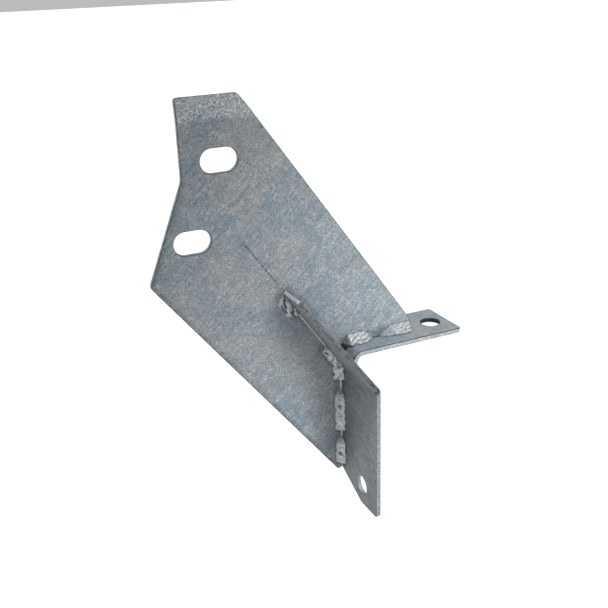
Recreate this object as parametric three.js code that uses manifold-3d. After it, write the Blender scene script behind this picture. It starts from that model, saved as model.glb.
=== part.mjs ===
// Welded roof bracket: a flat web plate, a bent gusset leg, a foot with a turned-down lip, and stitch welds.
// Millimetres. +X runs along the foot away from the leg, +Y goes through the web from front to back, +Z is up.
// The plates are drawn from the corner where the leg's left face, the web's front face and the foot's top face
// meet. The outer group moves the middle of the foot's flat underside to the origin.
import * as THREE from 'three';
import * as BufferGeometryUtils from 'three/addons/utils/BufferGeometryUtils.js';
import Module from 'manifold-3d';

const wasm = await Module();
wasm.setup();

// Driving dimensions
const plate = 3.2;
const gap = 0.3;
const boltHoleRadius = 6.5;
const cornerRound = 2.5;
const arcSteps = 10;

const web = {
  leftX: -96.9,
  shoulderZ: 120.4,
  leftCornerX: -121,
  leftCornerZ: 62.1,
  tipX: -3.3,
  tipZ: -92.9,
  tipSlope: 0.35,
  heelX: 52.6,
  heelZ: 8,
  creaseX: -52.6,
  creaseZ: 155.4,
  stripHeight: 10.9,
  stripShift: -7.7,
  stripLean: THREE.MathUtils.degToRad(10),
};
const slot = {
  radius: 7,
  length: 22.5,
  centres: [[-73.9, 130], [-93.2, 84.8]],
};
const leg = {
  depth: 46.8,
  bottomZ: -104.7,
  chamferStart: -26.5,
  chamferSlope: 0.48,
  holeY: -27,
  holeZ: -90.8,
};
const gusset = {
  lean: THREE.MathUtils.degToRad(34.5),
  cornerZ: -13.6,
  bendRadius: 3,
  length: 69.6,
  endDepth: 20,
  shearStart: 1.7,
};
const foot = {
  endX: 84,
  frontY: -15,
  backY: 24.3,
  holeX: 71.2,
  holeY: 3.7,
  lipX: 1.4,
  bendRadius: 4.6,
};
const webReliefRadius = 11.2;

const steelLook = { color: 0x8f979d, roughness: 0.5, metalness: 0.75 };
const beadLook = { color: 0xb3b9bc, roughness: 0.35, metalness: 0.85 };

const X = new THREE.Vector3(1, 0, 0);
const Y = new THREE.Vector3(0, 1, 0);
const Z = new THREE.Vector3(0, 0, 1);
const opposite = (axis) => axis.clone().negate();

// Directions in the gusset flange: up its slope, and through it to its far face.
const gussetUp = new THREE.Vector3(-Math.sin(gusset.lean), 0, Math.cos(gusset.lean));
const gussetThrough = new THREE.Vector3(Math.cos(gusset.lean), 0, Math.sin(gusset.lean));
const gussetCorner = new THREE.Vector3(0, 0, gusset.cornerZ);

const footBend = {
  x: foot.lipX + plate + foot.bendRadius,
  z: -(plate + foot.bendRadius),
};

// A closed three.js geometry becomes a solid for cutting, and a solid becomes a plain geometry again.
function solidOf(geometry) {
  const bare = geometry.clone();
  bare.deleteAttribute('normal');
  bare.deleteAttribute('uv');
  const merged = BufferGeometryUtils.mergeVertices(bare, 1e-4);
  const vertProperties = new Float32Array(merged.attributes.position.array);
  const triVerts = new Uint32Array(merged.index.array);
  return new wasm.Manifold(new wasm.Mesh({ numProp: 3, vertProperties, triVerts }));
}

function geometryOf(solid) {
  const mesh = solid.getMesh();
  const geometry = new THREE.BufferGeometry();
  geometry.setAttribute('position', new THREE.BufferAttribute(mesh.vertProperties, 3));
  geometry.setIndex(new THREE.BufferAttribute(mesh.triVerts, 1));
  geometry.computeVertexNormals();
  return geometry;
}

// An outline drawn along two directions from `origin`, pushed along the third for `depth`.
function prism(outline, uAxis, vAxis, origin, depth) {
  const depthAxis = uAxis.clone().cross(vAxis);
  const geometry = new THREE.ExtrudeGeometry(outline, {
    depth,
    bevelEnabled: false,
    curveSegments: arcSteps,
  });
  const place = new THREE.Matrix4().makeBasis(uAxis, vAxis, depthAxis);
  place.setPosition(origin);
  geometry.applyMatrix4(place);
  return solidOf(geometry);
}

// Prisms square to one axis, each running from the lower coordinate to the higher one.
function alongX(outline, low, high) {
  return prism(outline, Y, Z, X.clone().multiplyScalar(low), high - low);
}

function alongY(outline, low, high) {
  return prism(outline, X, Z, Y.clone().multiplyScalar(high), high - low);
}

function alongZ(outline, low, high) {
  return prism(outline, X, Y, Z.clone().multiplyScalar(low), high - low);
}

// A closed outline through points [u, v, round], where round is how far the rounding runs along each side.
function outlineThrough(points) {
  const shape = new THREE.Shape();
  points.forEach(([u, v, round], index) => {
    const corner = new THREE.Vector2(u, v);
    const [beforeU, beforeV] = points[(index + points.length - 1) % points.length];
    const [afterU, afterV] = points[(index + 1) % points.length];
    const back = new THREE.Vector2(beforeU, beforeV).sub(corner).normalize();
    const ahead = new THREE.Vector2(afterU, afterV).sub(corner).normalize();
    const enter = corner.clone().addScaledVector(back, round);
    const leave = corner.clone().addScaledVector(ahead, round);
    if (index === 0) shape.moveTo(enter.x, enter.y);
    else shape.lineTo(enter.x, enter.y);
    if (round > 0) shape.quadraticCurveTo(u, v, leave.x, leave.y);
  });
  shape.closePath();
  return shape;
}

function circleOutline(u, v, radius) {
  const shape = new THREE.Shape();
  shape.absarc(u, v, radius, 0, 2 * Math.PI, false);
  return shape;
}

function slotOutline(u, v) {
  const reach = slot.length / 2 - slot.radius;
  const shape = new THREE.Shape();
  shape.absarc(u + reach, v, slot.radius, -Math.PI / 2, Math.PI / 2, false);
  shape.absarc(u - reach, v, slot.radius, Math.PI / 2, 1.5 * Math.PI, false);
  shape.closePath();
  return shape;
}

// The web stands on the foot and is relieved in an arc where the foot bends down through its corner.
function webPlate() {
  const tipRiseAtLeg = web.tipSlope * (plate - web.tipX);
  const body = alongY(outlineThrough([
    [web.leftX, web.creaseZ, 0],
    [web.leftX, web.shoulderZ, cornerRound],
    [web.leftCornerX, web.leftCornerZ, cornerRound],
    [web.tipX, web.tipZ, 0],
    [plate, web.tipZ + tipRiseAtLeg, 0],
    [plate, gap, 0],
    [web.heelX, gap, 0],
    [web.heelX, web.heelZ, cornerRound],
    [web.creaseX, web.creaseZ, 0],
  ]), 0, plate);
  const stripOutline = outlineThrough([
    [web.leftX, 0, 0],
    [web.creaseX, 0, 0],
    [web.creaseX + web.stripShift, web.stripHeight, cornerRound],
    [web.leftX, web.stripHeight, cornerRound],
  ]);
  const stripUp = new THREE.Vector3(0, Math.sin(web.stripLean), Math.cos(web.stripLean));
  const stripBack = stripUp.clone().cross(X);
  const stripOrigin = Z.clone().multiplyScalar(web.creaseZ).addScaledVector(stripBack, plate);
  const strip = prism(stripOutline, X, stripUp, stripOrigin, plate);
  const relief = alongY(circleOutline(footBend.x, footBend.z, webReliefRadius), -plate, 2 * plate);
  const slots = slot.centres.map(([x, z]) => alongY(slotOutline(x, z), -plate, 2 * plate));
  return slots.reduce((solid, cut) => solid.subtract(cut), body.add(strip).subtract(relief));
}

// The bent plate in section: the leg is vertical and the gusset flange leans away from the foot.
function gussetLegSection() {
  const arcX = -gusset.bendRadius;
  const arcZ = gusset.cornerZ - gusset.bendRadius * Math.tan(gusset.lean / 2);
  const nearTip = gussetCorner.clone().addScaledVector(gussetUp, gusset.length);
  const farTip = nearTip.clone().addScaledVector(gussetThrough, plate);
  const shape = new THREE.Shape();
  shape.moveTo(0, leg.bottomZ);
  shape.lineTo(plate, leg.bottomZ);
  shape.absarc(arcX, arcZ, gusset.bendRadius + plate, 0, gusset.lean, false);
  shape.lineTo(farTip.x, farTip.z);
  shape.lineTo(nearTip.x, nearTip.z);
  shape.absarc(arcX, arcZ, gusset.bendRadius, gusset.lean, 0, true);
  shape.closePath();
  return shape;
}

// Everything in front of the flange's free edge, which is sheared on a slant.
function shearedAway() {
  const rise = gusset.length - gusset.shearStart;
  const run = leg.depth - gusset.endDepth;
  const outline = outlineThrough([
    [-leg.depth, gusset.shearStart, 0],
    [run - gusset.endDepth, gusset.length + rise, 0],
    [-2 * leg.depth, gusset.length + rise, 0],
    [-2 * leg.depth, gusset.shearStart, 0],
  ]);
  const origin = gussetCorner.clone().addScaledVector(gussetThrough, -plate);
  return prism(outline, Y, gussetUp, origin, 3 * plate);
}

function gussetLeg() {
  const bent = alongY(gussetLegSection(), -leg.depth, -gap);
  const belowChamfer = leg.bottomZ - leg.depth;
  const cutAway = outlineThrough([
    [leg.chamferStart, leg.bottomZ, 0],
    [leg.chamferStart, belowChamfer, 0],
    [plate, belowChamfer, 0],
    [plate, leg.bottomZ + leg.chamferSlope * (plate - leg.chamferStart), 0],
  ]);
  const front = outlineThrough([
    [-leg.depth, leg.bottomZ, cornerRound],
    [plate, leg.bottomZ, 0],
    [plate, leg.depth, 0],
    [-leg.depth, leg.depth, 0],
  ]);
  const reachX = gusset.length;
  return bent
    .intersect(alongX(front, -reachX, reachX))
    .subtract(alongX(cutAway, -plate, 2 * plate))
    .subtract(shearedAway())
    .subtract(alongX(circleOutline(leg.holeY, leg.holeZ, boltHoleRadius), -plate, 2 * plate));
}

// Height at x of the lip's cut end, which lies a gap clear of the gusset flange's far face.
function lipEndZ(x) {
  const farCornerZ = gusset.cornerZ + plate * Math.tan(gusset.lean / 2);
  return farCornerZ + (plate - x) / Math.tan(gusset.lean) + gap / Math.sin(gusset.lean);
}

function footPlate() {
  const lipInnerX = foot.lipX + plate;
  const section = new THREE.Shape();
  section.moveTo(foot.endX, -plate);
  section.lineTo(foot.endX, 0);
  section.absarc(footBend.x, footBend.z, foot.bendRadius + plate, Math.PI / 2, Math.PI, false);
  section.lineTo(foot.lipX, lipEndZ(foot.lipX));
  section.lineTo(lipInnerX, lipEndZ(lipInnerX));
  section.absarc(footBend.x, footBend.z, foot.bendRadius, Math.PI, Math.PI / 2, true);
  section.closePath();
  const plan = outlineThrough([
    [-foot.endX, foot.frontY, 0],
    [foot.endX, foot.frontY, cornerRound],
    [foot.endX, foot.backY, cornerRound],
    [-foot.endX, foot.backY, 0],
  ]);
  return alongY(section, foot.frontY, foot.backY)
    .intersect(alongZ(plan, -foot.endX, foot.endX))
    .subtract(alongZ(circleOutline(foot.holeX, foot.holeY, boltHoleRadius), -2 * plate, plate));
}

// A fillet weld: a stretched capsule, kept only in the corner between two faces and a gap clear of both.
// `corner` is on the seam at distance zero, `run` points along it, and `legs` are the reaches on the two faces.
function weldBead({ corner, run, from, to, sides, legs }) {
  const [firstSide, secondSide] = sides;
  const [firstLeg, secondLeg] = legs;
  const endLength = Math.min(firstLeg, secondLeg);
  const barrel = (to - from) / endLength - 2;
  const capsule = new THREE.CapsuleGeometry(1, barrel, 8, 32);
  const across = firstSide.clone().cross(run).dot(secondSide) > 0 ? run : opposite(run);
  const middle = corner.clone().addScaledVector(run, (from + to) / 2);
  const round = new THREE.Matrix4().makeBasis(
    firstSide.clone().multiplyScalar(firstLeg),
    across.clone().multiplyScalar(endLength),
    secondSide.clone().multiplyScalar(secondLeg),
  );
  capsule.applyMatrix4(round.setPosition(middle));
  const keepSize = 2 * (to - from);
  const keep = new THREE.BoxGeometry(keepSize, 2 * keepSize, keepSize);
  const square = new THREE.Matrix4().makeBasis(firstSide, across, secondSide);
  const keepMiddle = middle.clone()
    .addScaledVector(firstSide, gap + keepSize / 2)
    .addScaledVector(secondSide, gap + keepSize / 2);
  keep.applyMatrix4(square.setPosition(keepMiddle));
  return solidOf(capsule).intersect(solidOf(keep));
}

const origin = new THREE.Vector3();
const front = opposite(Y);
const gussetNear = { corner: gussetCorner, run: gussetUp, sides: [opposite(gussetThrough), front] };
const gussetFar = {
  corner: gussetCorner.clone().addScaledVector(gussetThrough, plate),
  run: gussetUp,
  sides: [gussetThrough, front],
};
const legSeam = { corner: origin, run: Z, sides: [opposite(X), front] };
const footSeam = { corner: origin, run: X, sides: [Z, front] };

const beads = {
  weld_gusset_top: { ...gussetNear, from: 51, to: 69, legs: [5.5, 5] },
  weld_gusset_far: { ...gussetFar, from: 41, to: 57, legs: [5, 5] },
  weld_gusset_root: { ...gussetNear, from: 3, to: 18.5, legs: [4.5, 4.2] },
  weld_corner: { ...legSeam, from: -25.5, to: -16, legs: [6, 4.5] },
  weld_leg_long: { ...legSeam, from: -62, to: -32.5, legs: [5, 6] },
  weld_leg_short: { ...legSeam, from: -87.5, to: -68, legs: [5, 6] },
  weld_foot_inner: { ...footSeam, from: 5.5, to: 23, legs: [6.5, 5] },
  weld_foot_outer: { ...footSeam, from: 31.5, to: 52.5, legs: [6.5, 5] },
};

const bracket = new THREE.Group();
bracket.name = 'roof_bracket';
bracket.position.set(
  -(footBend.x + foot.endX) / 2,
  -(foot.frontY + foot.backY) / 2,
  plate,
);

function addPiece(name, solid, look) {
  const mesh = new THREE.Mesh(geometryOf(solid), new THREE.MeshStandardMaterial(look));
  mesh.name = name;
  bracket.add(mesh);
}

addPiece('web_plate', webPlate(), steelLook);
addPiece('gusset_leg', gussetLeg(), steelLook);
addPiece('foot', footPlate(), steelLook);
for (const [name, bead] of Object.entries(beads)) addPiece(name, weldBead(bead), beadLook);

export default bracket;
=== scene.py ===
import math

import bmesh
import bpy
from mathutils import Matrix, Vector, noise


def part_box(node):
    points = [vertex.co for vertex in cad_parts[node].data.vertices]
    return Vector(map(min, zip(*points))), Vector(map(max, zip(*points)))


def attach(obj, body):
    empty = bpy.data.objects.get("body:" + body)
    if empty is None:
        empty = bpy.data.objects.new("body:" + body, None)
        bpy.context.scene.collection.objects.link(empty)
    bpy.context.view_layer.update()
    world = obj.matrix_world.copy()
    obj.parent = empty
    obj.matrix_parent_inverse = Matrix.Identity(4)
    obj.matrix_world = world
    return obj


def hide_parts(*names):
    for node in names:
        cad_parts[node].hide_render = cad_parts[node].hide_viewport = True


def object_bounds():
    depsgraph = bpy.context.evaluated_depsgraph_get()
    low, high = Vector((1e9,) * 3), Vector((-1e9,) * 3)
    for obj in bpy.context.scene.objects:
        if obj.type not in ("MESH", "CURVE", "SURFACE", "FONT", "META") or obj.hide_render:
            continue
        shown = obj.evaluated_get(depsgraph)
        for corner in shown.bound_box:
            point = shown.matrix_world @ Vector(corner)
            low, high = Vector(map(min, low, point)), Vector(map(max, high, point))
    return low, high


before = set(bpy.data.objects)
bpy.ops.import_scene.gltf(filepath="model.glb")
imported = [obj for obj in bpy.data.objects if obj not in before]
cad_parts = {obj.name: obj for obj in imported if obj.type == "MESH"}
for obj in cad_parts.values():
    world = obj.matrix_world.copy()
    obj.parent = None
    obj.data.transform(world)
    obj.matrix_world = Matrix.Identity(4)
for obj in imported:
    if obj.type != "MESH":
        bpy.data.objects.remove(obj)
cad_low, cad_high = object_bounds()

# Shapes are drawn in millimetres from the corner where the leg's left face, the web's front face and the
# foot's top face meet, and moved into the row frame in metres when each mesh is made.
MM = 0.001
PLATE = 3.2
HOLE_RADIUS = 6.5
RIM = 0.45
SEAM_GAP = 0.12

# How far the rounding of a corner runs along each side
ROUND = 2.5
CUT_ROUND = 0.8
SHEAR_ROUND = 0.9
SEAM_ROUND = 0.6

# How finely outlines, holes, rims and bends are divided
ROUND_STEPS = 6
ARC_STEPS = 28
HOLE_STEPS = 64
RIM_STEPS = 3
WALL_STEPS = 4
WEB_STEP = 1.5
LEG_STEP = 0.7
FOOT_STEP = 1.2
STRIP_SLICES = 8
LEAN_SLICES = 10
FOOT_SLICES = 14

# Points and vertices that are closer than this count as one, and a vertex this near to a cut is on it.
SAME_POINT = 1e-4
ON_PLANE = 1e-5
MERGE_METRES = 1e-7

# How ragged a cut edge is, in mm, and how fast its waves and its grit change
SLOT_RAGGED = 0.05
LEG_RAGGED = 0.1
SAWN_RAGGED = 0.12
LOWER_LEFT_RAGGED = 0.22
SHEARED_RAGGED = 0.42
WAVE_RATE = 0.35
GRIT_RATE = 1.3
GRIT_DOWN_RATE = 1.1

web_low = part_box("web_plate")[0]
leg_low, leg_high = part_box("gusset_leg")
foot_low, foot_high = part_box("foot")
CORNER = Vector((leg_high.x - PLATE * MM, web_low.y, foot_high.z))


def from_corner(point):
    """A row-frame point in millimetres from the corner."""
    return (point - CORNER) / MM


WEB_LOW, LEG_LOW = from_corner(web_low), from_corner(leg_low)
FOOT_LOW, FOOT_HIGH = from_corner(foot_low), from_corner(foot_high)

# The web plate
WEB_LEFT = -96.9
WEB_SHOULDER = 120.4
WEB_LEFT_CORNER = (WEB_LOW.x, 62.1)
WEB_TIP = (-3.3, WEB_LOW.z)
WEB_TIP_SLOPE = 0.35
WEB_HEEL = (52.6, 8.0)
CREASE = (-52.6, 155.4)
STRIP_HEIGHT = 10.7
STRIP_SHIFT = -7.7
STRIP_LEAN = math.radians(10)
STRIP_BEND_RADIUS = 24.0
FACE_LINE = ((-62.6, 0.0, 79.5), (-41.8, 0.0, 49.8))
SLOT_RADIUS = 7.0
SLOT_REACH = 4.25
SLOTS = ((-73.9, 130.0), (-93.2, 84.8))

# The leg and its gusset flange
LEG_CHAMFER_START = -26.5
LEG_CHAMFER_SLOPE = 0.48
LEG_HOLE = (-27.0, -90.8)
LEAN = math.radians(34.5)
LEAN_CORNER = -13.6
LEAN_RADIUS = 3.0
GUSSET_LENGTH = 69.6
GUSSET_END_DEPTH = 20.0
SHEAR_START = 1.7

# The foot
FOOT_HOLE = (71.2, 3.7)
FOOT_BEND_RADIUS = 4.6
FOOT_BEND = (FOOT_LOW.x + PLATE + FOOT_BEND_RADIUS, -PLATE - FOOT_BEND_RADIUS)
WEB_RELIEF_RADIUS = 11.2

GUSSET_UP = Vector((-math.sin(LEAN), 0, math.cos(LEAN)))
GUSSET_THROUGH = Vector((math.cos(LEAN), 0, math.sin(LEAN)))
GUSSET_CORNER = Vector((0, 0, LEAN_CORNER))
X, Y, Z = Vector((1, 0, 0)), Vector((0, 1, 0)), Vector((0, 0, 1))


# -------- outlines

def arc(centre, radius, start, end, steps=ARC_STEPS):
    """Points on an arc, angles in degrees."""
    points = []
    for k in range(steps + 1):
        angle = math.radians(start + (end - start) * k / steps)
        points.append((centre[0] + radius * math.cos(angle), centre[1] + radius * math.sin(angle)))
    return points


def rounded(corners):
    """An outline through corners (u, v, round), where round is how far the rounding runs along each side."""
    points = []
    for k, (u, v, size) in enumerate(corners):
        here = Vector((u, v))
        if size == 0:
            points.append((u, v))
            continue
        before = (Vector(corners[k - 1][:2]) - here).normalized()
        after = (Vector(corners[(k + 1) % len(corners)][:2]) - here).normalized()
        for j in range(ROUND_STEPS + 1):
            t = j / ROUND_STEPS
            offset = before * (size * (1 - t) ** 2) + after * (size * t * t)
            points.append(tuple(here + offset))
    return points


def stepped(points, step):
    """The same closed outline with a point at least every `step` millimetres."""
    result = []
    for k, start in enumerate(points):
        start = Vector(start)
        end = Vector(points[(k + 1) % len(points)])
        count = max(1, round((end - start).length / step))
        result += [tuple(start.lerp(end, j / count)) for j in range(count)]
    return result


def area(points):
    """The outline's area, positive where the points run counter-clockwise."""
    total = 0
    for k, (u, v) in enumerate(points):
        nu, nv = points[(k + 1) % len(points)]
        total += u * nv - nu * v
    return total / 2


def without_repeats(points):
    kept = []
    for point in points:
        if not kept or (Vector(point) - Vector(kept[-1])).length > SAME_POINT:
            kept.append(point)
    if (Vector(kept[0]) - Vector(kept[-1])).length <= SAME_POINT:
        kept.pop()
    return kept


def inward(loop):
    """A unit normal into the material at each point of a loop that keeps the material on its left."""
    normals = []
    for k, point in enumerate(loop):
        here = Vector(point)
        back = (here - Vector(loop[k - 1])).normalized()
        ahead = (Vector(loop[(k + 1) % len(loop)]) - here).normalized()
        first = Vector((-back.y, back.x))
        second = Vector((-ahead.y, ahead.x))
        middle = (first + second).normalized()
        normals.append(middle / max(0.5, middle.dot(first)))
    return normals


# -------- plates

def rim_profile():
    """(inset, height) down the edge of a plate, from the top face to the bottom face."""
    half = PLATE / 2
    top = []
    for k in range(RIM_STEPS + 1):
        angle = math.pi / 2 * k / RIM_STEPS
        top.append((RIM * (1 - math.sin(angle)), half - RIM * (1 - math.cos(angle))))
    middle = [(0.0, half - RIM - (PLATE - 2 * RIM) * k / WALL_STEPS) for k in range(1, WALL_STEPS)]
    return top + middle + [(inset, -height) for inset, height in reversed(top)]


def worn_in(u, v, height, ragged):
    """How far a cut edge is worn in at a point, in waves with grit on top."""
    wave = noise.noise(Vector((u * WAVE_RATE, v * WAVE_RATE, 3.1)))
    grit = noise.noise(Vector((u * GRIT_RATE, v * GRIT_RATE, height * GRIT_DOWN_RATE)))
    return ragged * (0.5 + 0.5 * wave + 0.6 * abs(grit))


def flat_plate(loops, raggedness, wall_material=1):
    """A flat plate in (u, v) with rounded rims, where raggedness(u, v) is how ragged its cut edges are.

    Faces take material 0, cut edges 1, rims 2 and the walls of holes wall_material.
    """
    mesh = bmesh.new()
    profile = rim_profile()
    caps = ([], [])
    for number, loop in enumerate(loops):
        loop = without_repeats(loop)
        if (area(loop) > 0) != (number == 0):
            loop = loop[::-1]
        rings = []
        for inset, height in profile:
            ring = []
            for (u, v), normal in zip(loop, inward(loop)):
                depth = inset + worn_in(u, v, height, raggedness(u, v))
                ring.append(mesh.verts.new((u + normal.x * depth, v + normal.y * depth, height)))
            rings.append(ring)
        for level, (upper, lower) in enumerate(zip(rings, rings[1:])):
            on_rim = level < RIM_STEPS or level >= len(rings) - 1 - RIM_STEPS
            for k in range(len(loop)):
                after = (k + 1) % len(loop)
                face = mesh.faces.new((upper[k], lower[k], lower[after], upper[after]))
                face.material_index = 2 if on_rim else (wall_material if number else 1)
        for cap, ring in zip(caps, (rings[0], rings[-1])):
            for k in range(len(ring)):
                cap.append(mesh.edges.get((ring[k], ring[(k + 1) % len(ring)])))
    for cap in caps:
        bmesh.ops.triangle_fill(mesh, edges=cap, use_beauty=True)
    bmesh.ops.recalc_face_normals(mesh, faces=mesh.faces)
    return mesh


def sliced(mesh, points, normal):
    """Cuts new edges across the mesh at planes through points, so that it can bend there."""
    for point in points:
        parts = mesh.verts[:] + mesh.edges[:] + mesh.faces[:]
        bmesh.ops.bisect_plane(mesh, geom=parts, plane_co=point, plane_no=normal, dist=ON_PLANE)


def spaced(start, end, count):
    return [start + (end - start) * k / count for k in range(count + 1)]


def make_object(name, mesh, node, materials):
    """Turns a millimetre mesh into a smooth-shaded piece in the row frame.

    The piece stands for a CAD node, or for none where node is None.
    """
    mesh.transform(Matrix.Translation(CORNER) @ Matrix.Scale(MM, 4))
    bmesh.ops.remove_doubles(mesh, verts=mesh.verts, dist=MERGE_METRES)
    bmesh.ops.recalc_face_normals(mesh, faces=mesh.faces)
    data = bpy.data.meshes.new(name)
    mesh.to_mesh(data)
    mesh.free()
    for material in materials:
        data.materials.append(material)
    data.polygons.foreach_set("use_smooth", [True] * len(data.polygons))
    piece = bpy.data.objects.new(name, data)
    bpy.context.scene.collection.objects.link(piece)
    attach(piece, "root")
    if node is not None:
        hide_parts(node)
    return piece


def even_shading(piece):
    """Keeps the flat faces flat in shading, with the rounding only on the rims."""
    modifier = piece.modifiers.new("face_weighted_normals", "WEIGHTED_NORMAL")
    modifier.mode = "FACE_AREA"
    modifier.weight = 100
    modifier.keep_sharp = True


def web_outline():
    tip_at_leg = WEB_TIP[1] + WEB_TIP_SLOPE * (PLATE - WEB_TIP[0])
    strip_top = CREASE[1] + STRIP_HEIGHT
    bend_x, bend_z = FOOT_BEND
    bottom = SEAM_GAP
    low_angle = 180 + math.degrees(math.acos((bend_x - PLATE) / WEB_RELIEF_RADIUS))
    high_angle = math.degrees(math.asin((bottom - bend_z) / WEB_RELIEF_RADIUS))
    before = rounded([
        (WEB_LEFT, WEB_SHOULDER, ROUND),
        (*WEB_LEFT_CORNER, ROUND),
        (*WEB_TIP, CUT_ROUND),
        (PLATE, tip_at_leg, 0),
        (PLATE, bend_z - WEB_RELIEF_RADIUS, 0),
        (WEB_HEEL[0], bottom, SEAM_ROUND),
        (*WEB_HEEL, ROUND),
        (*CREASE, 0),
        (CREASE[0] + STRIP_SHIFT, strip_top, ROUND),
        (WEB_LEFT, strip_top, ROUND),
    ])
    corner_at = before.index((PLATE, bend_z - WEB_RELIEF_RADIUS))
    relief = arc(FOOT_BEND, WEB_RELIEF_RADIUS, low_angle, high_angle)
    return before[:corner_at] + relief + before[corner_at + 1:]


def slot_outline(centre):
    u, v = centre
    right = arc((u + SLOT_REACH, v), SLOT_RADIUS, -90, 90)
    left = arc((u - SLOT_REACH, v), SLOT_RADIUS, 90, 270)
    return right + left


def web_raggedness(u, v):
    """The web's outline is uneven, most of all along the lower left edge, and its slots are clean."""
    in_slot = any(math.hypot(u - x, v - z) < SLOT_RADIUS + SLOT_REACH + 1 for x, z in SLOTS)
    if in_slot:
        return SLOT_RAGGED
    lower_left = u + v < 0
    return LOWER_LEFT_RAGGED if lower_left else SAWN_RAGGED


def leaned_back(point):
    """The strip above the crease bends back through a wide radius."""
    u, v, through = point
    start = CREASE[1] - STRIP_BEND_RADIUS * STRIP_LEAN / 2
    if v <= start:
        return Vector((u, through, v))
    radius = STRIP_BEND_RADIUS - through
    middle_radius = STRIP_BEND_RADIUS - PLATE / 2
    turn = min((v - start) / middle_radius, STRIP_LEAN)
    beyond = max(v - start - middle_radius * STRIP_LEAN, 0)
    return Vector((
        u,
        STRIP_BEND_RADIUS - radius * math.cos(turn) + beyond * math.sin(turn),
        start + radius * math.sin(turn) + beyond * math.cos(turn),
    ))


def make_web(materials):
    loops = [stepped(web_outline(), WEB_STEP)] + [slot_outline(centre) for centre in SLOTS]
    mesh = flat_plate(loops, web_raggedness)
    start = CREASE[1] - STRIP_BEND_RADIUS * STRIP_LEAN / 2
    end = start + STRIP_BEND_RADIUS * STRIP_LEAN
    sliced(mesh, [(0, v, 0) for v in spaced(start, end, STRIP_SLICES)], (0, 1, 0))
    for vertex in mesh.verts:
        u, v, height = vertex.co
        vertex.co = leaned_back((u, v, height + PLATE / 2))
    even_shading(make_object("web_plate_sheet", mesh, "web_plate", materials))


LEAN_TANGENT = LEAN_RADIUS * math.tan(LEAN / 2)
LEAN_START = LEAN_CORNER - LEAN_TANGENT
LEAN_ARC = (LEAN_RADIUS + PLATE / 2) * LEAN


def gusset_length_at(distance):
    """Length up the flat pattern for a distance up the gusset flange from its sharp corner."""
    return LEAN_START + LEAN_ARC + distance - LEAN_TANGENT


def leg_outline():
    top = gusset_length_at(GUSSET_LENGTH)
    shear = gusset_length_at(SHEAR_START)
    front = LEG_LOW.y
    chamfer_end = LEG_LOW.z + LEG_CHAMFER_SLOPE * (-SEAM_GAP - LEG_CHAMFER_START)
    return rounded([
        (front, LEG_LOW.z, ROUND),
        (LEG_CHAMFER_START, LEG_LOW.z, CUT_ROUND),
        (-SEAM_GAP, chamfer_end, SEAM_ROUND),
        (-SEAM_GAP, top, SEAM_ROUND),
        (-GUSSET_END_DEPTH, top, CUT_ROUND),
        (front, shear, SHEAR_ROUND),
    ])


def leg_raggedness(u, v):
    """The slanted free edge of the gusset is a coarse sheared edge."""
    start, end = gusset_length_at(SHEAR_START), gusset_length_at(GUSSET_LENGTH)
    share = (v - start) / (end - start)
    edge_u = LEG_LOW.y + (-GUSSET_END_DEPTH - LEG_LOW.y) * share
    on_shear = -0.02 < share < 1.02 and abs(u - edge_u) < 1.2
    return SHEARED_RAGGED if on_shear else LEG_RAGGED


def leaned_over(point):
    """Bends the flat leg pattern, given as (through, y, length), over to the gusset's slope."""
    through, y, length = point
    if length <= LEAN_START:
        return Vector((through, y, length))
    turn = min((length - LEAN_START) / (LEAN_RADIUS + PLATE / 2), LEAN)
    beyond = max(length - LEAN_START - LEAN_ARC, 0)
    out = LEAN_RADIUS + through
    return Vector((
        -LEAN_RADIUS + out * math.cos(turn) - beyond * math.sin(turn),
        y,
        LEAN_START + out * math.sin(turn) + beyond * math.cos(turn),
    ))


def make_leg(materials):
    hole = arc(LEG_HOLE, HOLE_RADIUS, 0, 360, HOLE_STEPS)
    mesh = flat_plate([stepped(leg_outline(), LEG_STEP), hole], leg_raggedness)
    bend = spaced(LEAN_START, LEAN_START + LEAN_ARC, LEAN_SLICES)
    sliced(mesh, [(0, v, 0) for v in bend], (0, 1, 0))
    for vertex in mesh.verts:
        u, v, height = vertex.co
        vertex.co = leaned_over((PLATE / 2 + height, u, v))
    even_shading(make_object("leg_and_gusset_sheet", mesh, "gusset_leg", materials))


FOOT_ARC = (FOOT_BEND_RADIUS + PLATE / 2) * math.pi / 2
LIP_LENGTH = 6.6


def lip_end_height(x, gap):
    """Height at x of a line parallel to the gusset's far face and a gap clear of it."""
    far_corner = LEAN_CORNER + PLATE * math.tan(LEAN / 2)
    return far_corner + (PLATE - x) / math.tan(LEAN) + gap / math.sin(LEAN)


def turned_down(point):
    """Bends the flat foot pattern, given as (length, y, height off its underside), down at its inner end."""
    length, y, height = point
    bend_x, bend_z = FOOT_BEND
    out = FOOT_BEND_RADIUS + height
    if length >= bend_x:
        return Vector((length, y, height - PLATE))
    turn = min((bend_x - length) / (FOOT_BEND_RADIUS + PLATE / 2), math.pi / 2)
    beyond = max(bend_x - length - FOOT_ARC, 0)
    return Vector((
        bend_x - out * math.sin(turn) - beyond * math.cos(turn),
        y,
        bend_z + out * math.cos(turn) - beyond * math.sin(turn),
    ))


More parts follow.
